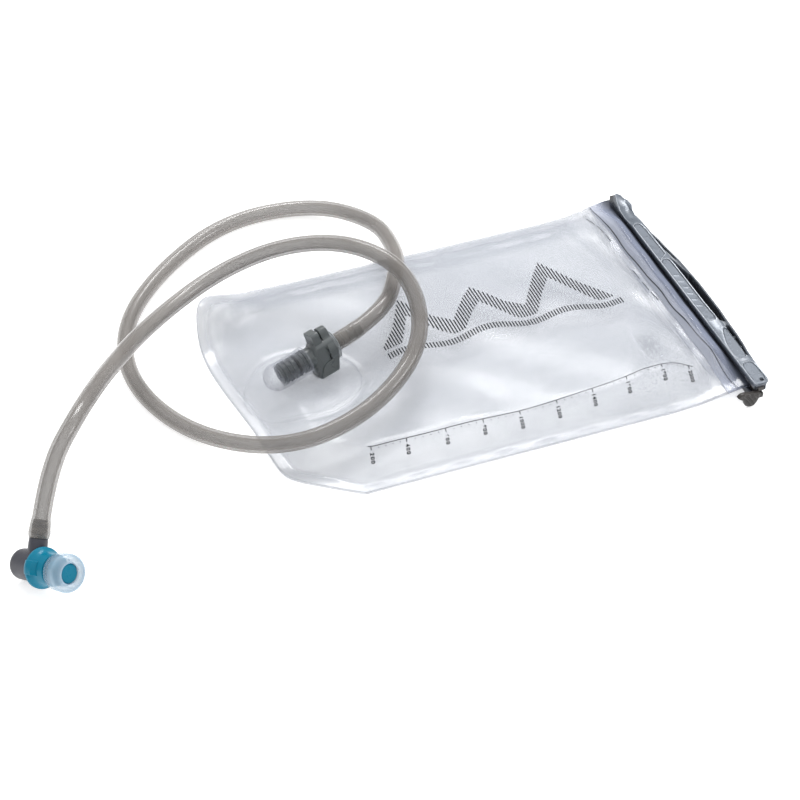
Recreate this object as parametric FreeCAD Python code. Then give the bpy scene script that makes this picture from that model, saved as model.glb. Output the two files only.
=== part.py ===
import FreeCAD, Part
import math
import os

# Hydration bladder: a two-litre film reservoir that lies on its back panel, a slide closure across its
# mouth, a quick-connect port near its bottom end, and a drink hose that ends in a twist bite valve.
# Millimetres. +X runs along the reservoir towards the closure, +Y across it, +Z up from the table.
# Each function makes one separate piece; a piece's name is its file's name.

V = FreeCAD.Vector
X_AXIS = V(1, 0, 0)
Y_AXIS = V(0, 1, 0)
Z_AXIS = V(0, 0, 1)

# Reservoir
bag_y = 5.0               # the reservoir's centre line
bag_half_width = 93.0
bag_bottom_x = -145.5
mouth_x = 116.0           # weld line between the front panel and the mouth hem
chamfer_length = 47.5     # cut corners of the bottom end
chamfer_width = 35.0
bottom_bow = 7.5
film = 0.6
weld_width = 7.0
front_height = 8.0
front_slope_side = 34.0
front_slope_bottom = 12.0
corner_radius = 14.0

# Mouth hems and rails, which run the whole width of the mouth
hem_film = 0.8
front_hem_line = [
    (116.0, 7.6),
    (117.6, 11.4),
    (120.6, 13.3),
    (124.0, 12.2),
    (126.2, 9.4),
    (128.4, 7.4),
    (133.6, 7.4),
]
rear_hem_line = [(116.0, 0.4), (120.5, 0.6), (124.2, 3.6), (126.8, 5.9), (128.6, 6.3), (133.6, 6.3)]
rail_x = 129.6
rail_width = 4.0
rail_height = 2.8
front_rail_z = 7.9
rear_rail_z = 3.1
rail_end_far = 97.5
claw_x = (120.5, 133.0)
claw_z = (0.3, 9.6)
claw_end_y = -98.5

# Slide closure
slider_near = -95.5
slider_far = 94.5
slider_x = 127.5
slider_width = 8.5
slider_base = 0.2
slider_top = 13.4
plate = 2.4
lip = 1.8
slot_low = 5.0
slot_high = 8.8
end_gap = 0.3             # between the closure's near end and the rail's claw
arch_reach = 7.0          # how far the grip arch bows out past the closure's spine
arch_far = 70.0
arch_wall = 1.6
arch_top = 9.5
web = 2.4
web_places = (54.0, 29.0, -38.0, -71.0)
panel_depth = 0.6
panel_margin = 1.1
panels = [(33.5, 66.0), (-42.0, 28.0), (-71.0, -46.5), (-92.5, -75.5)]
tab_start = 71.0
tab_lift = 1.2
tab_dip = 1.2
tab_overhang = 1.2
tab_corner = 5.0
tab_lean = 4.5             # how far the tab's inner edge leans out at its tip
tether_hole = (133.0, -90.0)
tether_radius = 1.1

# Port: lengths run along the port's own axis, from the inner end of the socket
port_origin = V(-116.0, 1.5, 17.0)
port_yaw = 13.0
port_tilt = 10.0
port_roll = -24.0
patch_centre = (-103.0, 0.0)
patch_radii = (33.5, 28.0)
patch_thickness = 1.0
patch_gap = 0.3
boot_radius = 8.0
boot_bore = 6.5
boot_length = 18.0
dome_start = -1.0
socket_core = 5.6
socket_bore = 4.35
socket_neck = 6.4
housing_start = 20.5
housing_end = 35.0
housing_half = 7.0
housing_low = -11.8
housing_high = 7.0
rib_places = (2.0, 5.0, 8.0, 14.5)
rib_width = 1.2
seal_place = 11.5
seal_wire = 0.9
seat_bore = 2.2
button_start = 24.0
button_plate = 5.0
button_half = 5.4
button_low = -6.6
button_high = 8.6
button_fit = 0.15
button_floor = -9.8
latch_radius = 4.6
latch_offset = 1.0
lobe_height = 4.4
lobe_radius = 2.0
face_start = 30.4          # plate at the housing's mouth, with a thumb lobe of its own
face_radius = 8.2
face_lobe = 12.6
face_lobe_half = 4.5
plug_nose = 4.3
plug_bore = 2.2
plug_nose_start = 13.0
plug_flange_radius = 8.3
hose_start = 37.5
barb_core = 2.95
barb_ridge = 3.4
barb_length = 17.0

# Drink hose
hose_diameter = 9.5
hose_bore = 6.35

# Bite valve: lengths run along the valve's own axis, from the closed end of the elbow
valve_origin = V(-281.8, -79.2, 6.6)
valve_heading = -62.0
valve_lift = 25.0
valve_roll = -35.0
elbow_radius = 8.0
elbow_length = 17.6
neck_radius = 4.75
barb_place = 12.5
barb_base = 14.4
valve_barb_length = 9.2
spigot_radius = 6.05
spigot_length = 8.0
seal_depth = 1.45          # of the grooves for the plug's and the spigot's o-rings
spigot_seal = 21.6
elbow_bore = 3.6
collar_gap = 0.2
collar_bore = 6.1
collar_neck = 8.2
collar_rim = 10.7
collar_end = 30.0
valve_end = 44.0
mouth_radius = 9.8
mouth_hole = 5.2
stem_radius = 5.1

# The hose's route; it leaves the port and meets the valve along their own axes
hose_lead = 34.0
hose_route = [
    (-20.0, 39.0, 28.0),
    (-9.0, 75.0, 23.0),
    (-15.0, 119.0, 13.0),
    (-43.0, 157.0, 5.0),
    (-95.0, 166.0, 5.0),
    (-146.0, 132.0, 5.0),
    (-182.0, 89.0, 5.0),
    (-192.0, 36.0, 5.0),
    (-171.0, -16.0, 5.0),
    (-128.0, -54.0, 15.0),
    (-76.0, -47.0, 19.0),
    (-34.0, -11.0, 26.0),
    (-24.0, 28.0, 43.0),
    (-43.0, 66.0, 49.0),
    (-82.0, 88.0, 38.0),
    (-124.0, 89.0, 28.0),
    (-171.0, 59.0, 29.0),
    (-207.0, 13.0, 43.0),
    (-235.0, -35.0, 58.0),
]


def box(x, y, z):
    """Box between pairs of coordinates."""
    return Part.makeBox(x[1] - x[0], y[1] - y[0], z[1] - z[0], V(x[0], y[0], z[0]))


def extrude(points, way):
    """Prism of a closed outline of points."""
    face = Part.Face(Part.makePolygon([V(*p) for p in points] + [V(*points[0])]))
    return face.extrude(way)


def turned(profile):
    """Solid of revolution about local X, from (length, radius) points."""
    wire = Part.makePolygon([V(s, r, 0) for s, r in profile] + [V(profile[0][0], profile[0][1], 0)])
    return Part.Face(wire).revolve(V(0, 0, 0), X_AXIS, 360)


def rod(radius, start, end):
    """Cylinder along local X."""
    return Part.makeCylinder(radius, end - start, V(start, 0, 0), X_AXIS)


def ring(outer, inner, start, end):
    """Tube along local X."""
    return rod(outer, start, end).cut(rod(inner, start - 1, end + 1))


def seal_ring(outer, wire, place):
    """O-ring of the given outer radius round local X."""
    return Part.makeTorus(outer - wire, wire, V(place, 0, 0), X_AXIS)


def coil(radius, wire, length, turns, start, way):
    """Helical spring of round wire that starts at a point and runs along a direction."""
    path = Part.makeHelix(length / turns, length, radius)
    section = Part.Wire(Part.makeCircle(wire, V(radius, 0, 0), Y_AXIS))
    spring = Part.Wire(path).makePipeShell([section], True, True)
    spring.Placement = FreeCAD.Placement(start, FreeCAD.Rotation(Z_AXIS, way))
    return spring


def placed(shape, placement):
    """Copy of a shape made in a local frame, moved to its place."""
    moved = shape.copy()
    moved.Placement = placement.multiply(moved.Placement)
    return moved


def rounded_outline(corners, radius, z):
    """Closed wire of straight sides and tangent corner arcs."""
    edges = []
    count = len(corners)
    ends = []
    for i in range(count):
        before, here, after = (V(*corners[(i + k) % count], z) for k in (-1, 0, 1))
        back = (before - here).normalize()
        ahead = (after - here).normalize()
        half = back.getAngle(ahead) / 2
        reach = radius / math.tan(half)
        middle = here + (back + ahead).normalize() * (radius / math.sin(half) - radius)
        ends.append((here + back * reach, middle, here + ahead * reach))
    for i in range(count):
        start, middle, end = ends[i]
        edges.append(Part.Arc(start, middle, end).toShape())
        edges.append(Part.LineSegment(end, ends[(i + 1) % count][0]).toShape())
    return Part.Wire(edges)


def bag_outline(side_inset, bottom_inset, z):
    """The reservoir's outline, drawn in from its sides and its bottom end."""
    side = bag_half_width - side_inset
    bottom = bag_bottom_x + bottom_inset
    shoulder = side - chamfer_width
    low = [(mouth_x, -side), (bottom + chamfer_length, -side), (bottom + bottom_bow, -shoulder), (bottom, 0)]
    high = [(x, -y) for x, y in reversed(low[:-1])]
    corners = [(x, bag_y + y) for x, y in low + high]
    return rounded_outline(corners, corner_radius, z)


def bag_prism(z_low, z_high):
    """Flat prism of the whole outline, square at the mouth."""
    prism = Part.Face(bag_outline(0, 0, z_low)).extrude(V(0, 0, z_high - z_low))
    return prism.fuse(mouth_end(bag_half_width, z_low, z_high)).removeSplitter()


def mouth_end(half_width, z_low, z_high):
    """Square end that replaces the outline's rounded corners at the mouth."""
    x = (mouth_x - corner_radius - 1, mouth_x)
    return box(x, (bag_y - half_width, bag_y + half_width), (z_low, z_high))


def bag_crown(shrink):
    """Closed crown of the front panel, from the weld up to its flat top."""
    base = bag_outline(weld_width + shrink, weld_width + shrink, film)
    top = bag_outline(front_slope_side + shrink, front_slope_bottom + shrink, front_height - shrink)
    return Part.makeLoft([base, top], True, True)


def back_film():
    return bag_prism(0.0, film)


def front_film():
    """Welded border and hollow crown of the front panel."""
    border = bag_prism(film, 2 * film)
    shell = border.fuse(bag_crown(0.0))
    return shell.cut(bag_crown(film))


def strip(line, thickness):
    """Band of even thickness along a line in the XZ plane, extruded across the mouth."""
    sides = ([], [])
    for i, (x, z) in enumerate(line):
        x0, z0 = line[max(i - 1, 0)]
        x1, z1 = line[min(i + 1, len(line) - 1)]
        length = math.hypot(x1 - x0, z1 - z0)
        nx, nz = (z0 - z1) / length, (x1 - x0) / length
        if i == 0:
            nx, nz = 0.0, 1.0
        for side, sign in zip(sides, (0.5, -0.5)):
            side.append((x + nx * sign * thickness, z + nz * sign * thickness))
    outline = sides[0] + sides[1][::-1]
    near = bag_y - bag_half_width
    return extrude([(x, near, z) for x, z in outline], V(0, 2 * bag_half_width, 0))


def rail(z):
    """Stiff bead along the mouth's edge, inside the closure."""
    return box((rail_x, rail_x + rail_width), (slider_near - end_gap, rail_end_far), (z, z + rail_height))


def rear_rail():
    """The rear bead carries the claw that stops the closure at its near end."""
    y = (claw_end_y, slider_near - end_gap)
    claw = box(claw_x, y, claw_z)
    scoop = Part.makeCylinder(9.0, 3.0, V(claw_x[1] + 3.5, y[0] - 0.5, claw_z[0] - 2.0), Y_AXIS)
    heel = Part.makeCylinder(8.0, 3.0, V(claw_x[0] - 2.0, y[0] - 0.5, claw_z[0] - 1.0), Y_AXIS)
    return rail(rear_rail_z).fuse(claw.cut(scoop).cut(heel)).removeSplitter()


def slot_shape(y, depth):
    """Round-ended sunk panel in the closure's top plate."""
    x = (slider_x + panel_margin, slider_x + slider_width - panel_margin)
    radius = (x[1] - x[0]) / 2
    z = slider_top - depth
    middle = box(x, (y[0] + radius, y[1] - radius), (z, slider_top + 1))
    for end in (y[0] + radius, y[1] - radius):
        middle = middle.fuse(Part.makeCylinder(radius, depth + 1, V(x[0] + radius, end, z)))
    return middle


def arch_segment(inset, z_low, z_high):
    """Segment between the closure's spine and its bowed grip arch."""
    spine = slider_x + slider_width
    low = V(spine, slider_near + inset * 4, z_low)
    high = V(spine, arch_far - inset * 4, z_low)
    crest = V(spine + arch_reach - inset, (slider_near + arch_far) / 2, z_low)
    wire = Part.Wire([Part.Arc(low, crest, high).toShape(), Part.LineSegment(high, low).toShape()])
    return Part.Face(wire).extrude(V(0, 0, z_high - z_low))


def grip_arch():
    """Bowed wall with a floor, joined to the spine by sloping webs."""
    spine = slider_x + slider_width
    arch = arch_segment(0.0, slider_base, arch_top)
    arch = arch.cut(arch_segment(arch_wall, slider_base + 2.0, arch_top + 1))
    room = arch_segment(0.0, slider_base, slider_top)
    for y in web_places:
        slope = extrude(
            [
                (spine - 1, y - web / 2, slider_base + 1),
                (spine - 1, y - web / 2, slider_top - 0.2),
                (spine + arch_reach, y - web / 2, arch_top - 1.5),
                (spine + arch_reach, y - web / 2, slider_base + 1),
            ],
            V(0, web, 0),
        )
        arch = arch.fuse(slope.common(room))
    return arch


def thumb_tab():
    """Raised, dished tab at the closure's far end."""
    near = V(slider_x, tab_start, slider_top)
    dish = V(slider_x, (tab_start + slider_far) / 2, slider_top - tab_dip)
    far = V(slider_x, slider_far, slider_top + tab_lift)
    foot_far = V(slider_x, slider_far, slider_top - plate - 0.1)
    foot_near = V(slider_x, tab_start, slider_top - plate - 0.1)
    corners = [far, foot_far, foot_near, near]
    edges = [Part.Arc(near, dish, far).toShape()]
    edges += [Part.LineSegment(corners[i], corners[i + 1]).toShape() for i in range(3)]
    width = slider_width + tab_overhang
    tab = Part.Face(Part.Wire(edges)).extrude(V(width, 0, 0))
    plan = Part.makeBox(width, 40, 40, V(slider_x, slider_far - 40, 0))
    corner = [e for e in plan.Edges if is_upright_at(e, slider_x + width, slider_far)]
    lean = extrude(
        [
            (slider_x - 1, tab_start, 0),
            (slider_x, tab_start, 0),
            (slider_x + tab_lean, slider_far + 1, 0),
            (slider_x - 1, slider_far + 1, 0),
        ],
        V(0, 0, 40),
    )
    return tab.common(plan.makeFillet(tab_corner, corner)).cut(lean)


def tab_room():
    """Top plate that the tab takes the place of."""
    x = (slider_x - 1, slider_x + slider_width + 1)
    return box(x, (tab_start, slider_far + 1), (slider_top - plate, 40))


def is_upright_at(edge, x, y):
    """True for a vertical edge that stands at a plan position."""
    ends = [v.Point for v in edge.Vertexes]
    return all(abs(p.x - x) < 0.01 and abs(p.y - y) < 0.01 for p in ends)


def closure_slider():
    """C-shaped channel that pinches both rails and slides off along them."""
    x = (slider_x, slider_x + slider_width)
    y = (slider_near, slider_far)
    body = box(x, y, (slider_base, slider_top))
    cavity = box((x[0] + lip, x[1] - 2.0), (y[0] - 1, y[1] + 1), (slider_base + plate, slider_top - plate))
    slot = box((x[0] - 1, x[0] + lip + 1), (y[0] - 1, y[1] + 1), (slot_low, slot_high))
    body = body.cut(cavity).cut(slot)
    body = body.cut(tab_room()).fuse(grip_arch()).fuse(thumb_tab())
    for span in panels:
        body = body.cut(slot_shape(span, panel_depth))
    hole = Part.makeCylinder(tether_radius, plate + 2, V(*tether_hole, slider_top - plate - 1))
    return body.cut(hole).removeSplitter()


def port_frame():
    return FreeCAD.Placement(port_origin, FreeCAD.Rotation(port_yaw, -port_tilt, port_roll))


def port_patch():
    """Oval patch welded to the front panel, which carries the boot."""
    centre = V(patch_centre[0], patch_centre[1], front_height)
    oval = Part.Wire(Part.Ellipse(centre, *patch_radii).toShape())
    return Part.Face(oval).extrude(V(0, 0, patch_thickness))


def port_boot():
    """Clear moulded boot: a domed sleeve on a foot that meets the patch."""
    dome = Part.makeSphere(boot_radius, V(dome_start, 0, 0))
    sleeve = rod(boot_radius, dome_start, boot_length).fuse(dome)
    sleeve = placed(sleeve, port_frame())
    foot = box((-124.0, -103.0), (-5.5, 10.5), (front_height + patch_thickness, 16.0))
    ground = box((-200, 0), (-60, 60), (-40, front_height + patch_thickness))
    boot = sleeve.fuse(foot).cut(ground)
    bore = rod(boot_bore, 0.5, boot_length + 5)
    return boot.cut(placed(bore, port_frame())).removeSplitter()


def face_plate():
    """Round plate at the housing's mouth with a rounded lobe on top."""
    lobe = box((face_start, housing_end), (-face_lobe_half, face_lobe_half), (0, face_lobe))
    top = [e for e in lobe.Edges if e.CenterOfMass.z > face_lobe - 0.1 and abs(e.CenterOfMass.y) > 1]
    return rod(face_radius, face_start, housing_end).fuse(lobe.makeFillet(3.0, top))


def socket_body():
    """Female half of the coupling: ribbed barrel, valve seat and latch housing."""
    body = rod(socket_core, 0.5, 20.0)
    for place in rib_places:
        body = body.fuse(rod(boot_bore, place, place + rib_width))
    body = body.fuse(rod(boot_bore, 16.5, boot_length))
    body = body.fuse(rod(socket_neck, boot_length, housing_start + 1))
    housing = box((housing_start, housing_end), (-housing_half, housing_half), (housing_low, housing_high))
    upright = [e for e in housing.Edges if abs(e.tangentAt(e.FirstParameter).x) > 0.9]
    body = body.fuse(housing.makeFillet(2.5, upright)).fuse(face_plate())
    bore = rod(socket_bore, 0.0, 9.6).fuse(rod(socket_bore, 12.0, housing_end + 1))
    bore = bore.fuse(rod(seat_bore, 9, 13))
    way = box(
        (button_start - button_fit, button_start + button_plate + button_fit),
        (-button_half - button_fit, button_half + button_fit),
        (button_floor, housing_high + 5),
    )
    groove = ring(boot_radius, socket_core - 0.9, seal_place - 0.9, seal_place + 0.9)
    cage = ring(socket_bore, 1.6, 0.5, 1.5)
    return body.cut(bore).cut(way).cut(groove).fuse(cage).removeSplitter()


def socket_seal():
    return seal_ring(boot_bore, seal_wire, seal_place)


def check_poppet():
    """Spring-loaded poppet, held off its seat by the plug's nose."""
    guide = [(3.0, 0), (3.0, 1.1), (6.4, 1.1)]
    head = [(6.4, 3.4), (8.0, 3.4)]
    stem = [(8.0, 1.2), (12.9, 1.2), (12.9, 0)]
    return turned(guide + head + stem)


def poppet_seal():
    return seal_ring(2.7, 0.45, 8.45)


def poppet_spring():
    return coil(2.6, 0.3, 4.2, 4, V(1.85, 0, 0), X_AXIS)


def release_button():
    """Latch plate with a thumb lobe; its round window grips the plug's groove."""
    x = (button_start, button_start + button_plate)
    bar = box(x, (-button_half, button_half), (button_low, button_high))
    pad_z = (housing_high + 1.6, button_high + lobe_height)
    pad = box((x[0] + 0.2, x[1] - 0.2), (-button_half, button_half), pad_z)
    along = [e for e in pad.Edges if abs(e.tangentAt(e.FirstParameter).x) > 0.9]
    pad = pad.makeFillet(lobe_radius, [e for e in along if e.CenterOfMass.z > button_high])
    window = Part.makeCylinder(latch_radius, 20, V(x[0] - 5, 0, latch_offset), X_AXIS)
    return bar.fuse(pad).cut(window).removeSplitter()


def button_spring():
    rise = button_low - button_floor
    return coil(1.8, 0.25, rise - 0.6, 3, V(button_start + button_plate / 2, 0, button_floor + 0.3), Z_AXIS)


def barb(start, length):
    """Solid hose barb with three ridges along local X, from its base outwards."""
    ridges = 3
    plain = length * 0.22
    pitch = (length - plain) / ridges
    profile = [(start, 0), (start, barb_core)]
    for i in range(ridges):
        foot = start + plain + i * pitch
        profile += [(foot, barb_core), (foot, barb_ridge), (foot + pitch * 0.7, barb_core)]
    profile += [(start + length, barb_core - 0.3), (start + length, 0)]
    return turned(profile)


def tube_plug():
    """Male half of the coupling: nose with latch groove, flange, hose barb and a bridge for the poppet."""
    nose = rod(plug_nose, plug_nose_start, housing_end + 1)
    groove = ring(plug_nose + 1, 3.5, button_start - 0.2, button_start + button_plate + 0.2)
    seal_groove = ring(plug_nose + 1, plug_nose - seal_depth, 17.2, 18.8)
    flange = rod(plug_flange_radius, housing_end + 0.2, hose_start)
    flange = flange.makeFillet(0.6, [e for e in flange.Edges if e.Closed and e.CenterOfMass.x < hose_start])
    body = nose.cut(groove).cut(seal_groove).fuse(flange).fuse(barb(hose_start, barb_length))
    body = body.cut(rod(plug_bore, plug_nose_start - 1, hose_start + barb_length + 1))
    bridge = box((plug_nose_start, plug_nose_start + 1.2), (-plug_bore - 0.5, plug_bore + 0.5), (-0.7, 0.7))
    return body.fuse(bridge).removeSplitter()


def plug_seal():
    return seal_ring(plug_nose + 0.03, 0.7, 18.0)


def hose_path():
    """Straight runs joined by tangent arcs, and the radii of the arcs."""
    points = [port_frame().multVec(V(hose_start + lead, 0, 0)) for lead in (0, hose_lead)]
    points += [V(*p) for p in hose_route]
    points += [valve_point(barb_place, barb_base + lead) for lead in (hose_lead, 0)]
    edges = []
    radii = []
    start = points[0]
    for before, here, after in zip(points, points[1:], points[2:]):
        back = (before - here).normalize()
        ahead = (after - here).normalize()
        half_turn = (math.pi - back.getAngle(ahead)) / 2
        reach = 0.45 * min((before - here).Length, (after - here).Length)
        radius = reach / math.tan(half_turn)
        middle = here + (back + ahead).normalize() * (radius / math.cos(half_turn) - radius)
        edges.append(Part.LineSegment(start, here + back * reach).toShape())
        edges.append(Part.Arc(here + back * reach, middle, here + ahead * reach).toShape())
        start = here + ahead * reach
        radii.append(radius)
    edges.append(Part.LineSegment(start, points[-1]).toShape())
    return Part.Wire(edges), radii


def hose_pipe(path, diameter):
    """Round bar along the hose's path."""
    edge = path.Edges[0]
    start = edge.valueAt(edge.FirstParameter)
    circle = Part.makeCircle(diameter / 2, start, edge.tangentAt(edge.FirstParameter))
    return path.makePipeShell([Part.Wire(circle)], True, False)


def drink_hose():
    path, radii = hose_path()
    hose = hose_pipe(path, hose_diameter).cut(hose_pipe(path, hose_bore))
    section = math.pi * (hose_diameter**2 - hose_bore**2) / 4
    print("hose radii", [round(r) for r in radii])
    print("hose length", round(path.Length), "volume ratio", hose.Volume / section / path.Length)
    return hose


def valve_frame():
    return FreeCAD.Placement(valve_origin, FreeCAD.Rotation(valve_heading, -valve_lift, valve_roll))


def valve_point(along, out):
    """Point on the valve elbow's barb axis, in the reservoir's frame."""
    return valve_frame().multVec(V(along, 0, out))


def valve_elbow():
    """Closed elbow with the hose barb to its side and the spigot that the collar turns on."""
    body = rod(elbow_radius, 0.0, elbow_length)
    body = body.makeFillet(2.6, [e for e in body.Edges if e.Closed and e.CenterOfMass.x < 1])
    spigot = rod(spigot_radius, elbow_length, elbow_length + spigot_length)
    stub = barb(0.0, valve_barb_length)
    stub.Placement = FreeCAD.Placement(V(barb_place, 0, barb_base), FreeCAD.Rotation(X_AXIS, Z_AXIS))
    neck = Part.makeCylinder(neck_radius, barb_base, V(barb_place, 0, 0))
    body = body.fuse(spigot).fuse(neck).fuse(stub)
    body = body.cut(rod(elbow_bore, 4.0, elbow_length + spigot_length + 1))
    body = body.cut(Part.makeCylinder(plug_bore, barb_base + valve_barb_length + 1, V(barb_place, 0, 0)))
    groove = ring(
        spigot_radius + 1, spigot_radius - seal_depth, spigot_seal - 0.8, spigot_seal + 0.8
    )
    return body.cut(groove).removeSplitter()


def shutoff_disc():
    """Fixed disc in the spigot's mouth, with two ports that the core's disc opens and shuts."""
    end = elbow_length + spigot_length
    disc = rod(elbow_bore, end - 1.6, end)
    for side in (1, -1):
        disc = disc.cut(Part.makeCylinder(0.9, 4, V(end - 3, side * 2.0, 0), X_AXIS))
    return disc


def collar_seal():
    return seal_ring(spigot_radius + 0.03, 0.7, spigot_seal)


def twist_collar():
    """Coloured collar with a dished rim and two finger ears."""
    start = elbow_length + collar_gap
    rim = [(start, collar_bore), (start, collar_rim - 0.8)]
    rim += [(start + 0.8, collar_rim), (start + 2.2, collar_rim)]
    waist = [(start + 3.4, 9.4), (start + 5.0, 8.5), (start + 7.0, collar_neck)]
    body = turned(rim + waist + [(collar_end, collar_neck), (collar_end, collar_bore)])
    ears = box((start + 0.4, start + 7.5), (-11.2, 11.2), (-3.6, 3.6))
    crown = [(start, 7.0), (start, 10.7), (start + 1.5, 11.2)]
    crown += [(start + 5.5, 10.6), (start + 8, 8.0), (start + 8, 7.0)]
    return body.fuse(ears.common(turned(crown))).removeSplitter()


def valve_core():
    """Coloured core that turns with the collar and closes the mouthpiece's tip."""
    start = elbow_length + spigot_length + collar_gap
    tip = valve_end - 1.8
    base = [(start, 0), (start, 6.0), (start + 3.4, 6.0), (start + 3.4, stem_radius)]
    core = turned(base + [(tip - 0.6, stem_radius), (tip, stem_radius - 0.6), (tip, 0)])
    core = core.cut(rod(2.4, start + 1.8, start + 12.0))
    for side in (1, -1):
        core = core.cut(Part.makeCylinder(0.9, 4, V(start - 1, side * 2.0, 0), X_AXIS))
    return core.cut(Part.makeCylinder(1.4, 20, V(start + 9.0, 0, -10)))


def mouthpiece():
    """Silicone sleeve stretched over the collar's neck, with a round mouth at its tip."""
    outside = [(26.6, collar_neck), (26.6, 8.9), (28.0, mouth_radius), (39.3, mouth_radius), (42.2, 9.3)]
    lips = [(valve_end, 7.6), (valve_end, mouth_hole + 0.6), (43.2, mouth_hole), (39.6, mouth_hole)]
    inside = [(38.4, 7.2), (collar_end + 0.4, 7.2), (collar_end, collar_neck)]
    return turned(outside + lips + inside)


def in_port(shape):
    return placed(shape, port_frame())


def above_patch(shape):
    """Trims what would reach into the patch."""
    return shape.cut(box((-200, 0), (-60, 60), (-40, front_height + patch_thickness + patch_gap)))


def on_valve(shape):
    return placed(shape, valve_frame())


parts = {
    "back_film": back_film(),
    "front_film": front_film(),
    "front_hem": strip(front_hem_line, hem_film),
    "rear_hem": strip(rear_hem_line, hem_film),
    "front_rail": rail(front_rail_z),
    "rear_rail": rear_rail(),
    "closure_slider": closure_slider(),
    "port_patch": port_patch(),
    "port_boot": port_boot(),
    "socket_body": above_patch(in_port(socket_body())),
    "socket_seal": in_port(socket_seal()),
    "check_poppet": in_port(check_poppet()),
    "poppet_seal": in_port(poppet_seal()),
    "poppet_spring": in_port(poppet_spring()),
    "release_button": in_port(release_button()),
    "button_spring": in_port(button_spring()),
    "tube_plug": in_port(tube_plug()),
    "plug_seal": in_port(plug_seal()),
    "drink_hose": drink_hose(),
    "valve_elbow": on_valve(valve_elbow()),
    "shutoff_disc": on_valve(shutoff_disc()),
    "collar_seal": on_valve(collar_seal()),
    "twist_collar": on_valve(twist_collar()),
    "valve_core": on_valve(valve_core()),
    "mouthpiece": on_valve(mouthpiece()),
}

os.makedirs("parts", exist_ok=True)
for name, shape in parts.items():
    bounds = shape.BoundBox
    print(
        f"{name:16s} valid {shape.isValid()} solids {len(shape.Solids)} volume {shape.Volume:9.1f}",
        f"x {bounds.XMin:7.1f} {bounds.XMax:7.1f} y {bounds.YMin:7.1f} {bounds.YMax:7.1f}",
        f"z {bounds.ZMin:6.2f} {bounds.ZMax:6.2f}",
    )
    shape.exportStep(f"parts/{name}.step")
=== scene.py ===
import math

import bmesh
import bpy
import numpy as np
from mathutils import Matrix, Vector


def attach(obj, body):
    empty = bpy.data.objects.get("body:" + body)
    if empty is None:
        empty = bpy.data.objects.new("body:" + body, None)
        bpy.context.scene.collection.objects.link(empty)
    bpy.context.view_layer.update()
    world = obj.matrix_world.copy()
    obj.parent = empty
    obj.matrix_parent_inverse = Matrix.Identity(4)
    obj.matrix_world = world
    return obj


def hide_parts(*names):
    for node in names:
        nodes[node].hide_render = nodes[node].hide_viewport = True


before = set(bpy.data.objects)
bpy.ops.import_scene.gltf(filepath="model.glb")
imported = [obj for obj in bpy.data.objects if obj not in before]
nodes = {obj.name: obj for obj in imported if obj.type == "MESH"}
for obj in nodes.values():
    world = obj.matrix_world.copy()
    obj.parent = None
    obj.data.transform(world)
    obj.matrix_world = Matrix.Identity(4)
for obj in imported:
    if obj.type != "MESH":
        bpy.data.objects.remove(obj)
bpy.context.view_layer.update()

MM = 0.001

# ---- the route and the local frames, in mm

PORT_ORIGIN = (-116.0, 1.5, 17.0)
PORT_TURN = (13.0, -10.0, -24.0)
HOSE_START = 37.5
VALVE_ORIGIN = (-281.8, -79.2, 6.6)
VALVE_TURN = (-62.0, -25.0, -35.0)
BARB_PLACE = 12.5
BARB_BASE = 14.4
HOSE_LEAD = 34.0
HOSE_RADIUS = 4.75
HOSE_BORE = 3.175
HOSE_ROUTE = [
    (-25.0, 57.0, 28.0), (-18.0, 79.0, 23.0), (-14.0, 122.0, 13.0), (-40.0, 162.0, 5.0), (-95.0, 165.0, 5.0),
    (-146.0, 132.0, 5.0), (-182.0, 89.0, 5.0), (-192.0, 36.0, 5.0), (-171.0, -17.0, 5.0), (-129.0, -56.0, 15.0),
    (-77.0, -46.0, 19.0), (-34.0, -10.0, 26.0), (-27.0, 30.0, 43.0), (-49.0, 61.0, 49.0), (-82.0, 88.0, 38.0),
    (-124.0, 89.0, 28.0), (-171.0, 58.0, 29.0), (-206.0, 13.0, 43.0), (-234.0, -33.0, 58.0),
]


def local_frame(origin, turn):
    """Matrix of a local frame from its origin and its yaw, pitch and roll in degrees, in mm."""
    yaw, pitch, roll = (math.radians(a) for a in turn)
    spin = Matrix.Rotation(yaw, 4, "Z") @ Matrix.Rotation(pitch, 4, "Y") @ Matrix.Rotation(roll, 4, "X")
    return Matrix.Translation(Vector(origin)) @ spin


PORT = local_frame(PORT_ORIGIN, PORT_TURN)
VALVE = local_frame(VALVE_ORIGIN, VALVE_TURN)

# ---- camera and light

CAMERA_TARGET = Vector((-54.0, -23.0, 0.0)) * MM
CAMERA_DISTANCE = 1.25
CAMERA_LENS = 101.25
azimuth = math.radians(-21.0)
elevation = math.radians(41.0)
back = Vector((math.sin(azimuth) * math.cos(elevation), -math.cos(azimuth) * math.cos(elevation), math.sin(elevation)))
cam_data = bpy.data.cameras.new("camera")
cam_data.sensor_width = 36.0
cam_data.lens = CAMERA_LENS
cam_data.clip_start = 0.05
cam_data.clip_end = 20.0
camera = bpy.data.objects.new("camera", cam_data)
camera.location = CAMERA_TARGET + back * CAMERA_DISTANCE
camera.rotation_euler = (-back).to_track_quat("-Z", "Y").to_euler()
bpy.context.scene.collection.objects.link(camera)
bpy.context.scene.camera = camera

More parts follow.
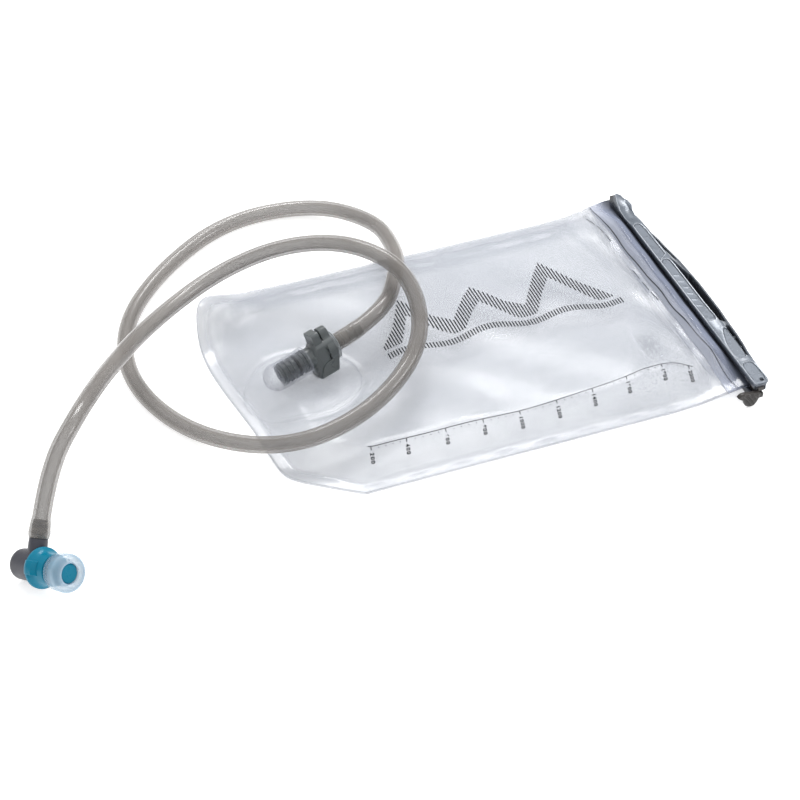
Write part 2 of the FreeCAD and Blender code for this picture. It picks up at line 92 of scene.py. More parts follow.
world = bpy.data.worlds.new("studio")
world.use_nodes = True
sky = world.node_tree
sky_place = sky.nodes.new("ShaderNodeTexCoord")
sky_split = sky.nodes.new("ShaderNodeSeparateXYZ")
sky_ramp = sky.nodes.new("ShaderNodeValToRGB")
sky_ramp.color_ramp.elements[0].position = 0.05
sky_ramp.color_ramp.elements[0].color = (0.16, 0.17, 0.18, 1.0)
sky_ramp.color_ramp.elements[1].position = 0.7
sky_ramp.color_ramp.elements[1].color = (1.0, 1.0, 1.0, 1.0)
sky.links.new(sky_place.outputs["Generated"], sky_split.inputs["Vector"])
sky.links.new(sky_split.outputs["Z"], sky_ramp.inputs["Fac"])
sky.links.new(sky_ramp.outputs["Color"], sky.nodes["Background"].inputs["Color"])
sky.nodes["Background"].inputs["Strength"].default_value = 1.05
bpy.context.scene.world = world
bpy.context.scene.view_settings.view_transform = "Standard"
bpy.context.scene.cycles.transparent_max_bounces = 32  # sight lines cross many thin clear walls


def area_light(name, place, aim, size, power):
    """Rectangular soft light at a place, turned to what it aims at."""
    data = bpy.data.lights.new(name, "AREA")
    data.shape = "RECTANGLE"
    data.size, data.size_y = size
    data.energy = power
    light = bpy.data.objects.new(name, data)
    light.location = place
    light.rotation_euler = (Vector(aim) - Vector(place)).to_track_quat("-Z", "Y").to_euler()
    bpy.context.scene.collection.objects.link(light)


area_light("key", (0.35, 0.9, 1.2), (0, 0, 0), (0.7, 0.35), 12.0)
area_light("side", (1.0, -0.3, 0.7), (0.1, 0, 0), (0.3, 0.3), 3.0)

# ---- materials


class Shader:
    """A Principled material and short calls for the nodes that feed it."""

    def __init__(self, name, color, roughness, **sockets):
        self.material = bpy.data.materials.new(name)
        self.material.use_nodes = True
        self.tree = self.material.node_tree
        self.bsdf = self.tree.nodes["Principled BSDF"]
        self.bsdf.inputs["Base Color"].default_value = (*color, 1.0)
        self.bsdf.inputs["Roughness"].default_value = roughness
        for key, value in sockets.items():
            self.bsdf.inputs[key.replace("_", " ")].default_value = value
        self.coords = self.node("ShaderNodeTexCoord").outputs["Object"]

    def node(self, kind, **settings):
        made = self.tree.nodes.new(kind)
        for key, value in settings.items():
            setattr(made, key, value)
        return made

    def link(self, source, target):
        self.tree.links.new(source, target)

    def feed(self, socket, source):
        self.link(source, self.bsdf.inputs[socket])

    def noise(self, scale, detail=3.0, rough=0.55, stretch=(1.0, 1.0, 1.0)):
        mapping = self.node("ShaderNodeMapping")
        mapping.inputs["Scale"].default_value = stretch
        self.link(self.coords, mapping.inputs["Vector"])
        made = self.node("ShaderNodeTexNoise")
        made.inputs["Scale"].default_value = scale
        made.inputs["Detail"].default_value = detail
        made.inputs["Roughness"].default_value = rough
        self.link(mapping.outputs["Vector"], made.inputs["Vector"])
        return made.outputs["Fac"]

    def span(self, value, low, high, start=0.0, end=1.0):
        """Maps a value's range to another range."""
        made = self.node("ShaderNodeMapRange")
        made.inputs["From Min"].default_value = low
        made.inputs["From Max"].default_value = high
        made.inputs["To Min"].default_value = start
        made.inputs["To Max"].default_value = end
        self.link(value, made.inputs["Value"])
        return made.outputs["Result"]

    def math(self, kind, a, b):
        made = self.node("ShaderNodeMath", operation=kind)
        for slot, value in zip(made.inputs, (a, b)):
            if isinstance(value, (int, float)):
                slot.default_value = value
            else:
                self.link(value, slot)
        return made.outputs[0]

    def ramp(self, value, stops):
        made = self.node("ShaderNodeValToRGB")
        ramp = made.color_ramp
        while len(ramp.elements) < len(stops):
            ramp.elements.new(0.5)
        for element, (place, color) in zip(ramp.elements, stops):
            element.position = place
            element.color = (*color, 1.0)
        self.link(value, made.inputs["Fac"])
        return made.outputs["Color"]

    def attribute(self, name):
        return self.node("ShaderNodeAttribute", attribute_name=name).outputs["Fac"]

    def bump(self, height, strength, distance=0.001):
        made = self.node("ShaderNodeBump")
        made.inputs["Strength"].default_value = strength
        made.inputs["Distance"].default_value = distance
        self.link(height, made.inputs["Height"])
        self.feed("Normal", made.outputs["Normal"])

    def facing(self, blend=0.3):
        made = self.node("ShaderNodeLayerWeight")
        made.inputs["Blend"].default_value = blend
        return made.outputs["Facing"]


def moulded(name, color, roughness, spread=0.12, grain=900.0, grain_strength=0.08, **sockets):
    """Moulded plastic: faint colour drift, uneven gloss and a fine grain."""
    s = Shader(name, color, roughness, **sockets)
    dark = tuple(c * (1 - spread) for c in color)
    light = tuple(min(1.0, c * (1 + spread)) for c in color)
    s.feed("Base Color", s.ramp(s.noise(60.0, 4.0), [(0.3, dark), (0.7, light)]))
    s.feed("Roughness", s.span(s.noise(140.0, 5.0), 0.3, 0.7, roughness * 0.8, roughness * 1.25))
    s.bump(s.noise(grain, 3.0), grain_strength, 0.0004)
    return s.material


def film_shader(name, low, high, tint):
    """Thin glossy film: clear where it faces the eye, denser at a slant, with soft haze and tiny wrinkles.

    The points' "shade" darkens it with painted shade and painted reflections (or, below zero, whitens it with painted
    highlights), and "drops" dots it with droplets.
    """
    s = Shader(name, tint, 0.16)
    haze = s.span(s.noise(14.0, 2.0, stretch=(1.0, 1.6, 1.0)), 0.35, 0.7)
    spots = s.math("MULTIPLY", s.span(s.noise(520.0, 1.0), 0.58, 0.7, 0.0, 0.4), s.attribute("drops"))
    shade = s.math("SUBTRACT", s.attribute("shade"), s.math("ADD", s.math("MULTIPLY", haze, 0.07), spots))
    # lit and shaded copies of the tint: painted highlight white, painted shade dark
    dark = tuple(c * 0.16 for c in tint)
    tone = s.ramp(s.span(shade, -1.0, 1.0), [(0.1, (0.93, 0.94, 0.97)), (0.5, tint), (0.95, dark)])
    s.feed("Base Color", tone)
    # painted shade and painted highlights also make the film denser
    extra = s.math("MULTIPLY", s.math("ABSOLUTE", shade, 0.0), 0.75)
    s.feed("Alpha", s.math("ADD", s.span(s.facing(0.45), 0.0, 1.0, low, high), extra))
    s.feed("Roughness", s.span(s.noise(30.0), 0.3, 0.7, 0.10, 0.24))
    s.bump(s.math("ADD", s.noise(45.0, 3.0), s.noise(9.0, 2.0)), 0.09, 0.0012)
    return s.material


film_front = film_shader("film_front", 0.055, 0.5, (0.30, 0.33, 0.385))
film_back = film_shader("film_back", 0.055, 0.5, (0.30, 0.33, 0.385))
film_roll = film_shader("film_roll", 0.16, 0.75, (0.34, 0.38, 0.50))
clear = film_shader("clear_moulding", 0.0, 0.5, (0.36, 0.38, 0.44))
clear_patch = film_shader("clear_patch", 0.0, 0.2, (0.72, 0.75, 0.80))
clear_ring = film_shader("clear_ring", 0.35, 0.9, (0.50, 0.53, 0.55))
grey = moulded("coupling_grey", (0.088, 0.099, 0.102), 0.30)
rail_brown = moulded("rail_brown", (0.035, 0.031, 0.029), 0.35, spread=0.6)
elbow_grey = moulded("elbow_grey", (0.045, 0.046, 0.060), 0.42)
teal = moulded("valve_teal", (0.0, 0.185, 0.295), 0.3, spread=0.08, Specular_IOR_Level=0.25)
ink = moulded("print_ink", (0.010, 0.011, 0.014), 0.6, spread=0.2, Specular_IOR_Level=0.2)
rubber = moulded("seal_rubber", (0.02, 0.02, 0.02), 0.5)
steel = moulded("spring_wire", (0.55, 0.55, 0.56), 0.25, spread=0.03, Metallic=1.0)


def closure_shader():
    """Satin grey moulding; the points' "tone" darkens its hollows and walls with painted shade and lightens its rims
    with painted highlights.
    """
    s = Shader("slider_grey", (0.20, 0.225, 0.26), 0.27, Metallic=0.2)
    drift = s.span(s.noise(50.0, 4.0), 0.3, 0.7, -0.05, 0.05)
    tone = s.span(s.math("ADD", s.attribute("tone"), drift), -1.0, 1.0)
    # lit and shaded copies of the grey, from painted highlight through base to deep painted shade
    color = s.ramp(tone, [(0.1, (0.55, 0.58, 0.63)), (0.5, (0.145, 0.167, 0.20)), (0.75, (0.055, 0.062, 0.076)),
                          (1.0, (0.012, 0.013, 0.016))])
    s.feed("Base Color", color)
    s.feed("Roughness", s.span(s.noise(140.0, 5.0), 0.3, 0.7, 0.22, 0.34))
    s.bump(s.noise(900.0, 3.0), 0.08, 0.0004)
    return s.material


def hose_shader():
    """Smoky flexible hose: each of its walls lets light through, and it is densest at its edges."""
    s = Shader("hose_plastic", (0.27, 0.25, 0.23), 0.16)
    tone = s.ramp(s.noise(18.0), [(0.3, (0.25, 0.232, 0.218)), (0.7, (0.30, 0.28, 0.262))])
    s.feed("Base Color", tone)
    s.feed("Alpha", s.span(s.facing(0.3), 0.0, 1.0, 0.42, 1.0))
    s.bump(s.noise(12.0, 1.0), 0.02, 0.0008)
    return s.material


def silicone_shader():
    """Milky soft silicone; the points' "thin" marks the skirt that the teal neck shows through."""
    s = Shader("silicone", (0.36, 0.50, 0.62), 0.24)
    s.bsdf.inputs["Subsurface Weight"].default_value = 0.1
    s.bsdf.inputs["Subsurface Radius"].default_value = (0.004, 0.005, 0.006)
    clear_part = s.span(s.attribute("thin"), 0.0, 1.0, 1.0, 0.32)
    s.feed("Alpha", s.math("MULTIPLY", s.span(s.facing(0.4), 0.0, 1.0, 0.48, 1.2), clear_part))
    s.bump(s.noise(160.0), 0.12, 0.0004)
    return s.material


slider_grey = closure_shader()
hose_plastic = hose_shader()
silicone = silicone_shader()

# ---- mesh helpers


def add_mesh(name, verts, faces, material, body="reservoir", smooth=True, mm=True):
    """Mesh object from points in mm and faces, shaded and riding on a body."""
    scale = MM if mm else 1.0
    mesh = bpy.data.meshes.new(name)
    mesh.from_pydata([tuple(c * scale for c in v) for v in verts], [], faces)
    mesh.validate()
    mesh.update()
    for p in mesh.polygons:
        p.use_smooth = smooth
    made = bpy.data.objects.new(name, mesh)
    bpy.context.scene.collection.objects.link(made)
    made.data.materials.append(material)
    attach(made, body)
    return made


def point_values(obj, name, values):
    """Stores one number for each point, for the material to read."""
    obj.data.attributes.new(name, "FLOAT", "POINT").data.foreach_set("value", np.asarray(values, float).ravel())


def modifier(obj, kind, **settings):
    """Adds a modifier with its settings."""
    made = obj.modifiers.new(kind.lower(), kind)
    for key, value in settings.items():
        setattr(made, key, value)
    return made


def grid_faces(rows, columns, close=False):
    """Faces of a grid of points, its columns closed into a ring where asked."""
    faces = []
    for i in range(rows - 1):
        for j in range(columns if close else columns - 1):
            k = (j + 1) % columns
            faces.append((i * columns + j, i * columns + k, (i + 1) * columns + k, (i + 1) * columns + j))
    return faces


def lathe(name, profile, material, place, body, segments=96, shape=None):
    """Closed solid turned about the local X axis of a place; shape(s, r, angle) may move its points."""
    verts = []
    count = len(profile)
    for i in range(segments):
        angle = 2 * math.pi * i / segments
        for s, r in profile:
            if shape:
                s, r = shape(s, r, angle)
            verts.append(place @ Vector((s, r * math.cos(angle), r * math.sin(angle))))
    faces = []
    for i in range(segments):
        n = (i + 1) % segments
        for j in range(count):
            k = (j + 1) % count
            faces.append((i * count + j, i * count + k, n * count + k, n * count + j))
    made = add_mesh(name, verts, faces, material, body)
    weld(made)
    return made


def weld(obj):
    """Merges doubled points and turns every face outwards."""
    bm = bmesh.new()
    bm.from_mesh(obj.data)
    bmesh.ops.remove_doubles(bm, verts=bm.verts, dist=1e-6)
    bmesh.ops.dissolve_degenerate(bm, edges=bm.edges, dist=1e-7)
    bmesh.ops.recalc_face_normals(bm, faces=bm.faces)
    bm.to_mesh(obj.data)
    bm.free()
    obj.data.shade_smooth()


def soften(points, radius, steps=4):
    """Rounds the corners of a closed profile of (s, r) points."""
    out = []
    count = len(points)
    for i in range(count):
        before, here, after = (Vector(points[(i + k) % count]) for k in (-1, 0, 1))
        to_before = before - here
        to_after = after - here
        reach = min(radius, to_before.length * 0.45, to_after.length * 0.45)
        if here.y < 0.01 or reach < 0.02:
            out.append(tuple(here))
            continue
        a = here + to_before.normalized() * reach
        b = here + to_after.normalized() * reach
        for k in range(steps + 1):
            t = k / steps
            out.append(tuple(a * (1 - t) ** 2 + here * 2 * t * (1 - t) + b * t * t))
    return out


# ---- hose

hose_points = [PORT @ Vector((HOSE_START + lead, 0, 0)) for lead in (0, HOSE_LEAD)]
hose_points += [Vector(p) for p in HOSE_ROUTE]
hose_points += [VALVE @ Vector((BARB_PLACE, 0, BARB_BASE + lead)) for lead in (HOSE_LEAD, 0)]


def spline_points(points):
    """Points along the smooth NURBS line of a route, in metres."""
    curve = bpy.data.curves.new("route", "CURVE")
    curve.dimensions = "3D"
    curve.resolution_u = 24
    spline = curve.splines.new("NURBS")
    spline.points.add(len(points) - 1)
    for p, co in zip(spline.points, points):
        p.co = (*(co * MM), 1.0)
    spline.order_u = 3
    spline.use_endpoint_u = True
    line = bpy.data.objects.new("route", curve)
    bpy.context.scene.collection.objects.link(line)
    bpy.context.view_layer.update()
    mesh = bpy.data.meshes.new_from_object(line)
    path = [v.co.copy() for v in mesh.vertices]
    bpy.data.objects.remove(line)
    bpy.data.meshes.remove(mesh)
    return path


hose_path = spline_points(hose_points)


def sweep(path, outer, inner, segments=32):
    """Hollow tube along a path; outer and inner give its radii from (length so far, whole length)."""
    lengths = [0.0]
    for a, b in zip(path, path[1:]):
        lengths.append(lengths[-1] + (b - a).length)
    total = lengths[-1]
    tangents = []
    for i in range(len(path)):
        a, b = path[max(i - 1, 0)], path[min(i + 1, len(path) - 1)]
        tangents.append((b - a).normalized())
    side = tangents[0].orthogonal().normalized()
    rings = []
    for i, (p, t) in enumerate(zip(path, tangents)):
        if i:
            side = (side - t * side.dot(t)).normalized()
        rings.append((p, side, t.cross(side)))
    verts = []
    for radius_of in (outer, inner):
        for (p, a, b), length in zip(rings, lengths):
            radius = radius_of(length, total)
            for k in range(segments):
                angle = 2 * math.pi * k / segments
                verts.append(p + (a * math.cos(angle) + b * math.sin(angle)) * radius)
    count = len(path)
    faces = grid_faces(count, segments, True)
    off = count * segments
    faces += [tuple(off + v for v in reversed(f)) for f in grid_faces(count, segments, True)]
    for k in range(segments):
        n = (k + 1) % segments
        faces.append((k, off + k, off + n, n))
        last = (count - 1) * segments
        faces.append((last + n, off + last + n, off + last + k, last + k))
    return verts, faces


# places along the hose from each end, in mm: the barbs' ridges, and where each barb ends
PLUG_RIDGES = (4.0, 8.3, 12.7)
PLUG_BARB_END = 16.5
VALVE_RIDGES = (2.6, 6.2)
VALVE_BARB_END = 8.6


def barb_swell(length, total, size):
    """How far the hose stands out over the barbs at its two ends, in mm; the valve's barb is the thicker one."""
    swell = 0.0
    for ridge in PLUG_RIDGES:
        swell += 0.3 * size * math.exp(-((length / MM - ridge - 0.8) / 1.1) ** 2)
    swell += 0.45 * size * (1.0 - float(np.clip((length / MM - PLUG_BARB_END) / 2.0, 0.0, 1.0)))
    left = (total - length) / MM
    swell += 0.75 * size * (1.0 - float(np.clip((left - VALVE_BARB_END) / 2.0, 0.0, 1.0)))
    for ridge in VALVE_RIDGES:
        swell += 0.45 * math.exp(-((left - ridge) / 1.0) ** 2)
    return swell


def hose_outer(length, total):
    return (HOSE_RADIUS + barb_swell(length, total, 0.6)) * MM


def hose_inner(length, total):
    return (HOSE_BORE + barb_swell(length, total, 1.0)) * MM


verts, faces = sweep(hose_path, hose_outer, hose_inner)
hose = add_mesh("hose", verts, faces, hose_plastic, mm=False)
weld(hose)
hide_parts("drink_hose")

# ---- the reservoir's shape, in mm

BAG_Y = 5.0
HALF_WIDTH = 93.0
MOUTH_X = 116.0
RAIL_END_X = 133.2
BORDER = 7.0
PATCH_CENTRE = (-103.0, 0.0)
PATCH_RADII = (33.5, 28.0)
LEFT_EDGE = [
    (-98.0, -88.0), (-106.0, -82.5), (-118.0, -74.0), (-129.0, -65.5), (-134.5, -57.0), (-136.5, -42.0),
    (-138.0, -22.0), (-141.0, 0.0), (-144.0, 22.0), (-145.5, 42.0), (-144.5, 62.0), (-140.0, 78.0),
    (-132.0, 88.0), (-120.0, 94.0), (-98.0, 98.0),
]


def smooth_line(points, count):
    """Even points along a smooth curve through the given ones."""
    pts = [Vector(p) for p in points]
    pts = [pts[0] * 2 - pts[1]] + pts + [pts[-1] * 2 - pts[-2]]
    dense = []
    for i in range(1, len(pts) - 2):
        p0, p1, p2, p3 = pts[i - 1:i + 3]
        for k in range(16):
            t = k / 16
            dense.append(
                0.5 * (2 * p1 + (p2 - p0) * t + (2 * p0 - 5 * p1 + 4 * p2 - p3) * t * t
                       + (3 * p1 - p0 - 3 * p2 + p3) * t ** 3)
            )
    dense.append(pts[-2])
    dense = np.array([tuple(p) for p in dense])
    steps = np.r_[0, np.cumsum(np.linalg.norm(np.diff(dense, axis=0), axis=1))]
    at = np.linspace(0, steps[-1], count)
    return np.stack([np.interp(at, steps, dense[:, k]) for k in range(dense.shape[1])], 1)


left_edge = smooth_line(LEFT_EDGE, 141)
outline = np.vstack([[(MOUTH_X + 40, BAG_Y - HALF_WIDTH)], left_edge, [(MOUTH_X + 40, BAG_Y + HALF_WIDTH)]])


def line_distance(line, x, y):
    """Distance from points to a line of straight steps."""
    p = np.stack([x, y], -1)[..., None, :]
    a, b = line[:-1], line[1:]
    ab = b - a
    t = np.clip(((p - a) * ab).sum(-1) / (ab * ab).sum(-1), 0, 1)
    return np.sqrt((((p - a) - t[..., None] * ab) ** 2).sum(-1)).min(-1)


def edge_distance(x, y):
    """Distance in from the reservoir's sides and bottom."""
    return line_distance(outline, x, y)


def smooth_step(v, low, high):
    """Rises from 0 to 1 between two limits, without corners."""
    t = np.clip((v - low) / (high - low), 0, 1)
    return t * t * (3 - 2 * t)


def hump(v, centre, width):
    """Smooth bump of height 1 along one direction."""
    return np.exp(-(((v - centre) / width) ** 2))


def spot(x, y, place, radii):
    """Smooth oval bump of height 1."""
    return np.exp(-(((x - place[0]) / radii[0]) ** 2 + ((y - place[1]) / radii[1]) ** 2))


def crease(x, y, a, b, width):
    """Narrow ridge along a line between two points, fading out at its ends."""
    ax, ay = a
    bx, by = b
    length = math.hypot(bx - ax, by - ay)
    ux, uy = (bx - ax) / length, (by - ay) / length
    along = ((x - ax) * ux + (y - ay) * uy) / length
    off = -(x - ax) * uy + (y - ay) * ux
    fade = np.clip(along * 4, 0, 1) * np.clip((1 - along) * 4, 0, 1)
    return fade * hump(off, 0.0, width)


# heights along x: the front panel's crown, the welded sides and the rear panel
FRONT_LINE = [(-200, 8.0), (90, 7.8), (104, 7.0), (112, 7.0), (116, 7.8), (118.2, 11.2), (121, 13.0), (124, 12.2),
              (126.2, 9.6), (128.4, 7.55), (134, 7.5)]
SIDE_LINE = [(-200, 1.2), (84, 1.2), (100, 2.2), (112, 4.4), (120, 6.0), (127, 6.95), (134, 7.0)]
REAR_LINE = [(-200, 0.3), (112, 0.3), (120.5, 0.7), (124.2, 3.6), (126.8, 5.8), (128.6, 6.25), (134, 6.25)]
# folds of the front panel as (height, from, to, width)
FOLDS = [
    (1.0, (-96, -86), (-84, -52), 2.2),
    (0.7, (-130, -28), (-112, -40), 1.4),
    (0.6, (-88, -32), (-66, -20), 1.6),
    (0.5, (60, -84), (84, -46), 3.0),
    (0.6, (88, 88), (100, 40), 3.0),
]
CURL_HEIGHT = 13.0


def along_line(line, x):
    """Value at x on a line given as (x, value) pairs."""
    xs, zs = zip(*line)
    return np.interp(x, xs, zs)


def curl(x, y):
    """Lift of the loose weld corner at the bottom end's far side."""
    corner = spot(x, y, (-139, 84), (24, 21))
    return CURL_HEIGHT * corner * (1 - smooth_step(edge_distance(x, y), 2.0, 26.0))


def front_height(x, y):
    """Height of the front panel: its crown, swells and folds, and the flat round the patch."""
    d = edge_distance(x, y)
    inner = smooth_step(d, BORDER - 1.5, 30.0) ** 0.8
    side = along_line(SIDE_LINE, x)
    top = along_line(FRONT_LINE, x)
    quiet = 1 - smooth_step(x, 98, 112)
    swell = 0.9 * np.sin(x * 0.031 + 0.6) * np.cos(y * 0.035 - 0.4) + 0.5 * np.sin(x * 0.052 - y * 0.043 + 1.7)
    swell += 0.35 * np.sin(x * 0.11 + y * 0.03) * np.sin(y * 0.09 + 0.5)
    swell = swell * quiet * (1 - spot(x, y, PATCH_CENTRE, (40, 34)))
    swell += 0.8 * np.sin(y * 0.105 + 0.5 * np.sin(y * 0.05)) * hump(x, 107, 6.5)
    swell += 0.6 * np.sin(y * 0.21 + 1.0) * hump(x, 120, 5.0)
    folds = sum(height * crease(x, y, start, end, width) for height, start, end, width in FOLDS)
    weld_ring = np.abs(np.sqrt(((x - PATCH_CENTRE[0]) / 34.5) ** 2 + (y / 29.0) ** 2) - 1)
    folds -= 0.45 * hump(weld_ring, 0.0, 0.035)
    by_the_weld = smooth_step(d, 3, 8) * (1 - smooth_step(d, 10, 22))
    ripple = 0.25 * np.sin(x * 0.25 + 3 * np.sin(y * 0.05)) * by_the_weld * quiet
    return side + (top - side + swell + folds) * inner + ripple + curl(x, y)


def back_height(x, y):
    """Height of the rear panel, which lies flat up to its rolled hem."""
    d = edge_distance(x, y)
    inner = smooth_step(d, BORDER - 1.5, 30.0)
    side = along_line(SIDE_LINE, x) - 0.9
    rear = along_line(REAR_LINE, x)
    return side + (rear - side) * inner + curl(x, y)


def panel_grid(columns):
    """Plan points of the panels: columns run from the bottom end to the mouth."""
    s = np.linspace(0, 1, columns)[:, None]
    t = np.linspace(-1, 1, len(left_edge))[None, :]
    ease = s ** 0.9
    x = left_edge[None, :, 0] * (1 - s) + MOUTH_X * s
    y = left_edge[None, :, 1] * (1 - ease) + (BAG_Y + HALF_WIDTH * t) * ease
    return x, y


def sheet_piece(name, x, y, z, material, thickness):
    """Sheet over a grid of plan points, with its real thickness in mm."""
    rows, columns = x.shape
    verts = np.stack([x, y, z], -1).reshape(-1, 3)
    made = add_mesh(name, verts.tolist(), grid_faces(rows, columns), material)
    modifier(made, "SOLIDIFY", thickness=thickness * MM, offset=0.0)
    return made


gx, gy = panel_grid(230)
front = sheet_piece("front_panel", gx, gy, front_height(gx, gy), film_front, 0.35)
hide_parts("front_film")


def panel_shade(x, y):
    """Where the front panel looks darker (above zero) or whiter (below): mostly painted shade, a painted reflection
    and painted highlights.
    """
    # a painted dark reflection with a sharp near edge, and broad bands of painted shade
    shade = 0.30 * spot(x, y, (91, -38), (10, 13)) * smooth_step(x, 84, 87)
    shade = shade + 0.10 * spot(x, y, (40, -30), (30, 12)) + 0.08 * spot(x, y, (-60, -45), (26, 18))
    # painted light that whitens the film round the port patch
    shade = shade - 0.10 * spot(x, y, PATCH_CENTRE, (38, 34))
    # painted highlights near the mouth's near corner
    shade = shade - 0.45 * spot(x, y, (110, -82), (7, 9)) - 0.22 * spot(x, y, (70, -76), (26, 7))
    # a painted highlight band towards the mouth, with a line of painted shade along its far side
    sway = 1.5 * np.sin(y * 0.09)
    shade = shade - 0.15 * smooth_step(x, 110.5 + sway, 113.5 + sway) + 0.14 * hump(x, 109.5 + sway, 1.6)
    # painted highlight along the welded border and painted shade where the panel rises from it
    edge = edge_distance(x, y)
    shade = shade - 0.12 * hump(edge, 2.0, 2.2) + 0.09 * hump(edge, 7.5, 1.6)
    shade = shade - 0.30 * smooth_step(-x, 84, 108) * (1 - smooth_step(edge, 6.0, 10.0))
    return shade


point_values(front, "shade", panel_shade(gx, gy))
point_values(front, "drops", spot(gx, gy, (94, -46), (13, 15)) + 0.6 * spot(gx, gy, (84, -66), (16, 8)))
back_panel = sheet_piece("back_panel", gx, gy, back_height(gx, gy), film_back, 0.35)
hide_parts("back_film")

roll_x, roll_y = np.meshgrid(np.linspace(MOUTH_X, RAIL_END_X, 60),
                             np.linspace(BAG_Y - HALF_WIDTH, BAG_Y + HALF_WIDTH, 141), indexing="ij")
front_roll = sheet_piece("front_roll", roll_x, roll_y, front_height(roll_x, roll_y), film_roll, 0.5)
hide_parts("front_hem")
# painted shade and a painted reflection of the dark closure and rail on the roll, darkest by the closure, with a
# painted highlight at its mouth side
ROLL_SHADE = [(116.0, -0.2), (118.0, -0.15), (120.0, -0.05), (121.5, 0.1), (123.2, 0.28), (124.8, 0.5), (126.4, 0.8),
              (127.6, 0.88), (134.0, 0.88)]
point_values(front_roll, "shade", along_line(ROLL_SHADE, roll_x + 0.7 * np.sin(roll_y * 0.06 + 1.0)))
rear_roll = sheet_piece("rear_roll", roll_x, roll_y, back_height(roll_x, roll_y), film_roll, 0.5)
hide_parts("rear_hem")

# ---- print on the front panel


def inked(name, points, faces, lift=0.28):
    """A film of ink over plan points, laid on the front panel."""
    xy = np.array(points, float)
    z = front_height(xy[:, 0], xy[:, 1]) + lift
    made = add_mesh(name, np.column_stack([xy, z]).tolist(), faces, ink, smooth=False)
    modifier(made, "SOLIDIFY", thickness=0.04 * MM, offset=0.0)


def printed(name, quads, lift=0.28):
    """Thin inked patches, each given as the plan points of its two long sides."""
    verts = []
    faces = []
    for left, right in quads:
        start = len(verts)
        for a, b in zip(left, right):
            verts += [a, b]
        for i in range(len(left) - 1):
            k = start + 2 * i
            faces.append((k, k + 1, k + 3, k + 2))
    inked(name, verts, faces, lift)


def bar(a, b, width, steps):
    """A straight inked line between two plan points."""
    a, b = Vector(a), Vector(b)
    side = (b - a).normalized().orthogonal() * width / 2
    line = [a.lerp(b, i / steps) for i in range(steps + 1)]
    return [tuple(p + side) for p in line], [tuple(p - side) for p in line]


def strokes(line, width, dashes):
    """An inked line along a smooth curve, broken into dashes given as start and end shares."""
    path = smooth_line(line, 160)
    quads = []
    for start, end in dashes:
        part = path[int(start * 159):int(end * 159) + 1]
        way = np.gradient(part, axis=0)
        side = np.column_stack([-way[:, 1], way[:, 0]]) / np.linalg.norm(way, axis=1)[:, None] * width / 2
        quads.append(([tuple(p) for p in part + side], [tuple(p) for p in part - side]))
    return quads


STRIPES = 81
STRIPE_STEP = 1.8
RIDGE = [(-50, 14), (-38, 30), (-27, 52), (-14, 31), (-4, 22), (9, 40), (16, 47), (30, 27), (40, 20), (55, 44),
         (63, 55), (78, 30), (95, 8)]
stripes = []
for i in range(STRIPES):
    x = -49.0 + STRIPE_STEP * i
    top = float(np.interp(x, *zip(*RIDGE)))
    low = 4.0 + 2.2 * math.sin(x * 0.13)
    spans = [(max(top - 15.0, low + 8.0), top), (low, low + 5.0)]
    for start, end in spans:
        if end - start > 1.0:
            stripes.append(bar((x, start), (x, end), 0.75, max(2, int((end - start) / 3))))
printed("ridge_graphic", stripes)

SCALE_TICKS = [-86.0, -65.6, -42.8, -20.8, 1.2, 23.5, 45.6, 67.4, 89.9, 104.5]
SCALE_LINE = [(-88.0, -62.5), (-40.0, -62.5), (20.0, -61.5), (45.0, -60.0), (70.0, -57.6), (84.0, -56.2),
              (97.0, -57.0), (106.8, -62.5)]


# the scale's marks and numbers, in mm: they lean by a share of their length
MARK_LEAN = 0.22
MARK_LENGTH = 2.4
NUMBER_DROP = 3.8
NUMBER_SIZE = 2.3 * 1.35


def scale_y(x):
    """Where the volume scale's line lies across the panel at x."""
    return float(np.interp(x, *smooth_line(SCALE_LINE, 60).T))


marks = strokes(SCALE_LINE, 0.42, [(0.0, 1.0)])
for i, x in enumerate(SCALE_TICKS):
    marks.append(bar((x, scale_y(x)), (x - MARK_LEAN * MARK_LENGTH, scale_y(x) - MARK_LENGTH), 0.5, 3))
    if i:
        for k in range(1, 5):
            dot = SCALE_TICKS[i - 1] + (x - SCALE_TICKS[i - 1]) * k / 5
            marks.append(bar((dot, scale_y(dot) - 1.2), (dot, scale_y(dot) - 1.9), 0.5, 1))
printed("volume_line", marks)


WELD_LINE = [(116.2, 96.5), (116.6, 84.0), (116.5, 63.0), (116.4, 40.0), (116.9, 20.0), (117.4, 0.0), (117.6, -20.0),
             (118.6, -40.0), (119.2, -60.0), (120.0, -77.0), (121.8, -87.0)]
CREASE_LINE = [(109.5, 90.0), (111.5, 77.0), (112.7, 60.0), (112.2, 40.0), (112.8, 24.0), (113.2, 8.0), (114.5, -4.0)]
CREASE_DASHES = [(0.03, 0.12), (0.15, 0.24), (0.26, 0.33), (0.66, 0.76), (0.79, 0.88), (0.9, 0.99)]

printed("weld_line", strokes(WELD_LINE, 0.32, [(0.0, 1.0)]), 0.7)
printed("crease_line", strokes(CREASE_LINE, 0.35, CREASE_DASHES), 0.5)


